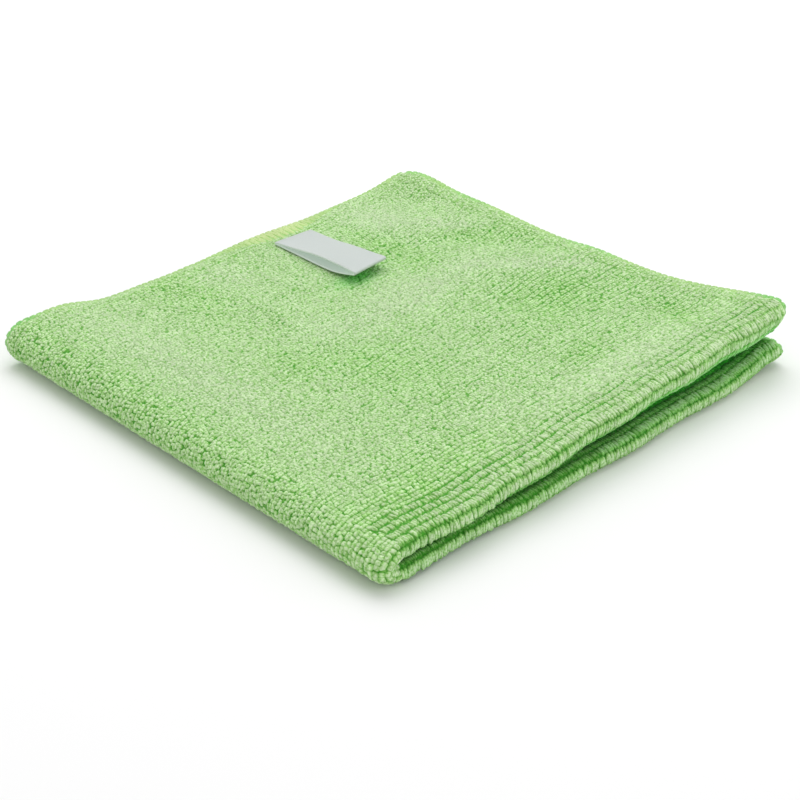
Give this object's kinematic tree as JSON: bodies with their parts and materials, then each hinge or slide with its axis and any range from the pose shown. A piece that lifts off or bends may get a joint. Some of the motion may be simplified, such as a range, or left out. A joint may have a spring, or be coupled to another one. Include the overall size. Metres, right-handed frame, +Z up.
{
  "type": "microfibre cloth",
  "caption": "Microfibre terry cloth for cleaning and drying, folded into a square pad, with overlocked edges, lifted corners and a blank ribbon label.",
  "frame": {"origin": "on the ground, at the middle of the folded cloth's box", "axes": "+Z up through the layers; the big fold round all four layers faces -Y, the two small folds with the mouth between them face +X, and the label's free edge faces -X"},
  "size_m": [0.2, 0.2028, 0.0258],
  "materials": {
    "terry": "looped microfibre pile, bright green, matt with a soft sheen",
    "ribbon": "white woven satin ribbon, blank"
  },
  "bodies": {
    "root": {"cloth": "terry", "label": "ribbon"}
  },
  "joints": []
}
